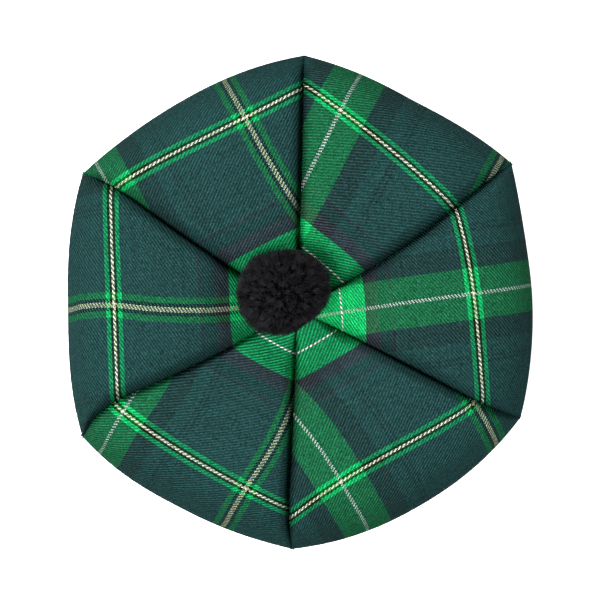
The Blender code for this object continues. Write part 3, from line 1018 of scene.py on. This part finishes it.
def toorie_core():
    """Closed ball: rings of CORE_SIDES points between two poles, CORE_SHARE of the size."""
    polar = np.linspace(0.0, math.pi, CORE_RINGS + 1)[1:-1, None]
    turn = np.arange(CORE_SIDES) * 2 * math.pi / CORE_SIDES
    rings = np.stack(np.broadcast_arrays(
        np.sin(polar) * np.cos(turn), np.sin(polar) * np.sin(turn), np.cos(polar)), axis=2)
    way = np.concatenate([rings.reshape(-1, 3), [[0, 0, 1], [0, 0, -1]]])
    return TOORIE_MIDDLE + CORE_SHARE * way * TOORIE_HALF, ball_faces(len(polar), CORE_SIDES)


core, core_faces = toorie_core()
shades = np.random.default_rng(SHADE_SEED)
# a random share is squared or cubed, so most of the wool is dark and a few fibres are bright
tone = YARN_TONE * np.repeat(shades.random(YARNS), FIBRES) ** 2
tone = tone + (1 - YARN_TONE) * shades.random(count) ** 3
spike_uv = np.stack([np.repeat(tone, SPIKE_POINTS), np.tile(PLACES, count)], axis=1)
spike_faces = (SPIKE + SPIKE_POINTS * np.arange(count)[:, None, None]).reshape(-1, 3)
corners = np.concatenate([spikes.reshape(-1, 3), core])
faces = np.concatenate([spike_faces, core_faces + SPIKE_POINTS * count])
# the core sits at the root's end of the ramp, in its painted shade
toorie_uv = np.concatenate([spike_uv, np.zeros((len(core), 2))])
toorie = finish_mesh("wool_toorie", corners, faces, toorie_uv)
print("triangles:", len(faces))

# %% [markdown]
# ## Black wool
#
# Black wool isn't quite black. Its cut tips catch the light, and what lies deeper between
# the fibres is in shade. One black for all of it would be the short way, but then the ball
# looks like a hole. So the tone is painted by how far along its fibre a point lies: painted
# shade near the root, a painted highlight at the tip. It also changes with which yarn and
# fibre it belongs to.

# %% The finish of the toorie
DULLEST, BRIGHTEST = 0.2, 4.5  # levels of a fibre's colour, by its tone


def black_wool(name):
    """Soft black woollen yarn, cut pile: matt, near black at the root as painted shade, charcoal at the
    tip as a painted highlight.
    """
    made, tree, shader = new_finish(name, roughness=0.9, gloss=0.05)
    fibre_tone, along = measures_of(tree)
    # the ramp along the fibre is painted shade at the root and a painted highlight at the tip
    ramp = add_node(tree, "ValToRGB", {0: along})
    ramp.color_ramp.elements[0].color = srgb("#010101")
    ramp.color_ramp.elements[1].color = srgb("#1A1A1C")
    level = add_node(tree, "MapRange", {0: fibre_tone, 3: DULLEST, 4: BRIGHTEST})
    colour = add_node(tree, "VectorMath", {0: ramp.outputs[0], "Scale": level.outputs[0]},
                      operation="SCALE")
    tree.links.new(colour.outputs[0], shader.inputs["Base Color"])
    return made


toorie.data.materials.append(black_wool("black wool yarn, cut pile"))
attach(toorie, "root")
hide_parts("toorie")
print("toorie:", toorie.data.materials[0].name)

# %% [markdown]
# ## Table
#
# The bonnet is photographed from straight above on pure white, without any shadow. A
# photographer gets that with a sheet of white paper over a light table. The picture could
# also be cut out and laid on white, but then the cloth would show no table in any other
# view. So the floor is matt paper that also shines a little by itself.

# %% A white table
TABLE = 3.0  # half of its side, in metres
PAPER_GLOW = 0.8


def white_paper(name):
    """Uncoated white paper over a light table: matt, no gloss, with a glow of its own."""
    made, _, shader = new_finish(name, roughness=0.9, gloss=0.0)
    shader.inputs["Base Color"].default_value = srgb("#F7F7F7")
    shader.inputs["Emission Color"].default_value = srgb("#FFFFFF")
    shader.inputs["Emission Strength"].default_value = PAPER_GLOW
    return made


floor_mesh = bpy.data.meshes.new("paper_floor")
sheet_corners = [(TABLE * x, TABLE * y, 0) for x, y in ((-1, -1), (1, -1), (1, 1), (-1, 1))]
floor_mesh.from_pydata(sheet_corners, [], [(0, 1, 2, 3)])
floor_mesh.materials.append(white_paper("matt white paper"))
floor = bpy.data.objects.new("paper_floor", floor_mesh)
bpy.context.collection.objects.link(floor)
floor.visible_diffuse = False  # the paper is masked off, so that it doesn't light the rim
print("table:", 2 * TABLE, "m square")

# %% [markdown]
# ## Light
#
# The ribs of the twill show on every gore, and no gore is much darker than the one opposite:
# the light comes from all sides, most of it from the front left and from the back. One
# lamp overhead would leave the rim black, and a bright world would lose the seams. So a
# large soft lamp hangs high at the front left, and three weaker ones stand lower at the
# right, the left and the back. The world gives next to nothing.

# %% Four soft lamps
world = bpy.data.worlds.new("studio")
world.use_nodes = True
background = world.node_tree.nodes["Background"]
background.inputs["Color"].default_value = srgb("#FFFFFF")
background.inputs["Strength"].default_value = 0.02
bpy.context.scene.world = world
bpy.context.scene.view_settings.view_transform = "Standard"

LAMP_WIDE = 1.2  # side of each square lamp, in metres
Lamp = namedtuple("Lamp", "name watts place")
LAMPS = [
    Lamp("main", 134.0, (-0.9, -0.9, 2.7)),
    Lamp("right", 64.0, (2.45, 0.0, 1.7)),
    Lamp("left", 64.0, (-2.45, 0.0, 1.7)),
    Lamp("back", 94.0, (-0.8, 2.35, 1.7)),
]
for lamp in LAMPS:
    light = bpy.data.lights.new(lamp.name, "AREA")
    light.size, light.energy = LAMP_WIDE, lamp.watts
    hung = bpy.data.objects.new(lamp.name, light)
    hung.location = lamp.place
    hung.rotation_euler = (-Vector(lamp.place)).to_track_quat("-Z", "Y").to_euler()
    bpy.context.collection.objects.link(hung)
print("lamps:", ", ".join(f"{lamp.name} {lamp.watts:.0f} W" for lamp in LAMPS))

# %% [markdown]
# ## Camera
#
# The photograph looks straight down and shows hardly any perspective, so the camera was well
# back. A long lens from 3 m does the same. It could be lined up by eye. Here it follows from
# a measured number, how wide the picture is at the height of the rim, and from how high it
# hangs.

# %% The camera, straight above
PHOTO_WIDE = 0.351  # what the picture's 600 pixels cover at the height of the rim, in metres
RIM_HIGH = 0.034
CAMERA_HIGH = 3.0
CAMERA_BACK = 0.0012  # the bonnet lies a little in front of the picture's middle
camera = bpy.data.objects.new("camera", bpy.data.cameras.new("camera"))
camera.data.lens = camera.data.sensor_width * (CAMERA_HIGH - RIM_HIGH) / PHOTO_WIDE
camera.location = (0.0, CAMERA_BACK, CAMERA_HIGH)
bpy.context.collection.objects.link(camera)
bpy.context.scene.camera = camera
print("lens:", round(camera.data.lens), "mm")
